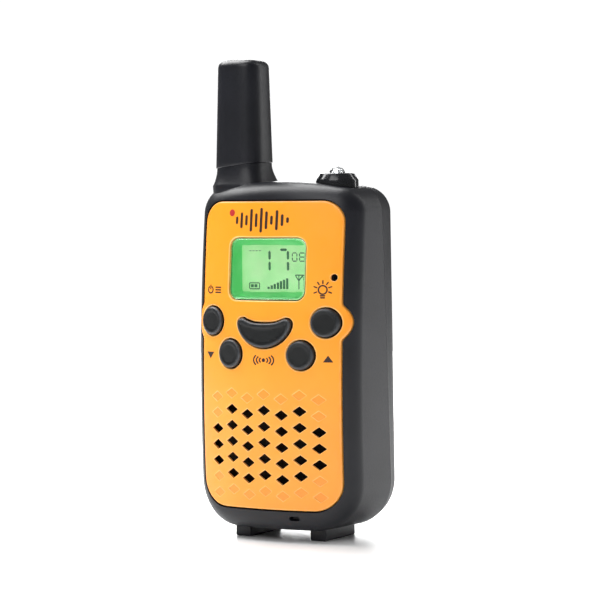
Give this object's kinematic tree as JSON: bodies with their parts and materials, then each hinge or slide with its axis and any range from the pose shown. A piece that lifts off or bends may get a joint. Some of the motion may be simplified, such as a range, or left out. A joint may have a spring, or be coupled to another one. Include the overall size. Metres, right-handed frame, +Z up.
{
  "type": "toy walkie talkie",
  "caption": "Hand-held toy two-way radio: rounded case with curved face plate, stub antenna, torch, lit display, push buttons, speaker grille, battery door and sprung belt clip.",
  "frame": {"origin": "centre of the outer box at the level of the feet's soles", "axes": "+Z up along the case to the antenna; -Y is the way the face looks; +X is on the right seen from the front"},
  "size_m": [0.0554, 0.0452, 0.1426],
  "materials": {
    "case_plastic": "fine grained moulded ABS, satin",
    "face_plastic": "smooth orange ABS, semi gloss",
    "button_plastic": "smooth black ABS, satin",
    "antenna_rubber": "satin moulded rubber",
    "antenna_plastic": "moulded nylon",
    "bezel_plastic": "polished black ABS",
    "clear_plastic": "clear polycarbonate",
    "light_green_plastic": "light guide lit green",
    "screen_glass": "liquid crystal glass lit pale green",
    "circuit_board_laminate": "green solder mask on glass epoxy laminate",
    "silicone": "grey silicone",
    "carbon_rubber": "carbon filled silicone",
    "speaker_fabric": "black woven acoustic cloth",
    "speaker_paper": "black speaker cone",
    "zinc_steel": "zinc plated steel",
    "magnet_ferrite": "sintered ferrite",
    "copper_wire": "enamelled copper wire",
    "nickel_spring_steel": "nickel plated spring steel",
    "cell_can": "printed cell can"
  },
  "bodies": {
    "handset": {"front_shell": "case_plastic", "rear_shell": "case_plastic", "clip_bracket": "case_plastic", "face_plate": "face_plastic", "antenna_cover": "antenna_rubber", "antenna_plug": "antenna_plastic", "torch_bezel": "bezel_plastic", "lcd_window": "clear_plastic", "torch_lens": "clear_plastic", "torch_led": "clear_plastic", "lcd_bezel": "light_green_plastic", "lcd_backlight": "light_green_plastic", "lcd_glass": "screen_glass", "circuit_board": "circuit_board_laminate", "keypad_membrane": "silicone", "lcd_connector": "silicone", "speaker_cloth": "speaker_fabric", "speaker_cone": "speaker_paper", "speaker_frame": "zinc_steel", "microphone": "zinc_steel", "antenna_nut": "zinc_steel", "case_screw_1": "zinc_steel", "case_screw_2": "zinc_steel", "case_screw_3": "zinc_steel", "case_screw_4": "zinc_steel", "clip_pin": "zinc_steel", "clip_spring": "zinc_steel", "speaker_magnet": "magnet_ferrite", "antenna_coil": "copper_wire", "battery_spring_1": "nickel_spring_steel", "battery_spring_2": "nickel_spring_steel", "battery_spring_3": "nickel_spring_steel", "battery_spring_4": "nickel_spring_steel", "contact_plate_top_1": "nickel_spring_steel", "contact_plate_top_2": "nickel_spring_steel", "contact_plate_foot_1": "nickel_spring_steel", "contact_plate_foot_2": "nickel_spring_steel", "contact_plate_foot_3": "nickel_spring_steel", "battery_1": "cell_can", "battery_2": "cell_can", "battery_3": "cell_can", "battery_4": "cell_can"},
    "power_button": {"power_button": "button_plastic", "power_contact": "carbon_rubber"},
    "torch_button": {"torch_button": "button_plastic", "torch_contact": "carbon_rubber"},
    "down_button": {"down_button": "button_plastic", "down_contact": "carbon_rubber"},
    "up_button": {"up_button": "button_plastic", "up_contact": "carbon_rubber"},
    "talk_button": {"talk_button": "button_plastic", "talk_contact": "carbon_rubber"},
    "battery_door": {"battery_door": "case_plastic"},
    "belt_clip": {"belt_clip": "case_plastic"}
  },
  "joints": [
    {"name": "power_button_press", "type": "slide", "parent": "handset", "child": "power_button", "axis": [0, 1, 0], "range_m": [0, 0.001], "stiffness_N_per_m": 800, "springref_m": -0.0005},
    {"name": "torch_button_press", "type": "slide", "parent": "handset", "child": "torch_button", "axis": [0, 1, 0], "range_m": [0, 0.001], "stiffness_N_per_m": 800, "springref_m": -0.0005},
    {"name": "down_button_press", "type": "slide", "parent": "handset", "child": "down_button", "axis": [0, 1, 0], "range_m": [0, 0.001], "stiffness_N_per_m": 800, "springref_m": -0.0005},
    {"name": "up_button_press", "type": "slide", "parent": "handset", "child": "up_button", "axis": [0, 1, 0], "range_m": [0, 0.001], "stiffness_N_per_m": 800, "springref_m": -0.0005},
    {"name": "talk_button_press", "type": "slide", "parent": "handset", "child": "talk_button", "axis": [0, 1, 0], "range_m": [0, 0.001], "stiffness_N_per_m": 1000, "springref_m": -0.0005},
    {"name": "battery_door_pull", "type": "slide", "parent": "handset", "child": "battery_door", "axis": [0, 1, 0], "range_m": [0, 0.03]},
    {"name": "belt_clip_hinge", "type": "hinge", "parent": "handset", "child": "belt_clip", "pos_m": [0, 0.01762, 0.088], "axis": [1, 0, 0], "range_deg": [0, 20], "stiffness_Nm_per_rad": 0.12, "springref_deg": -8.59}
  ]
}
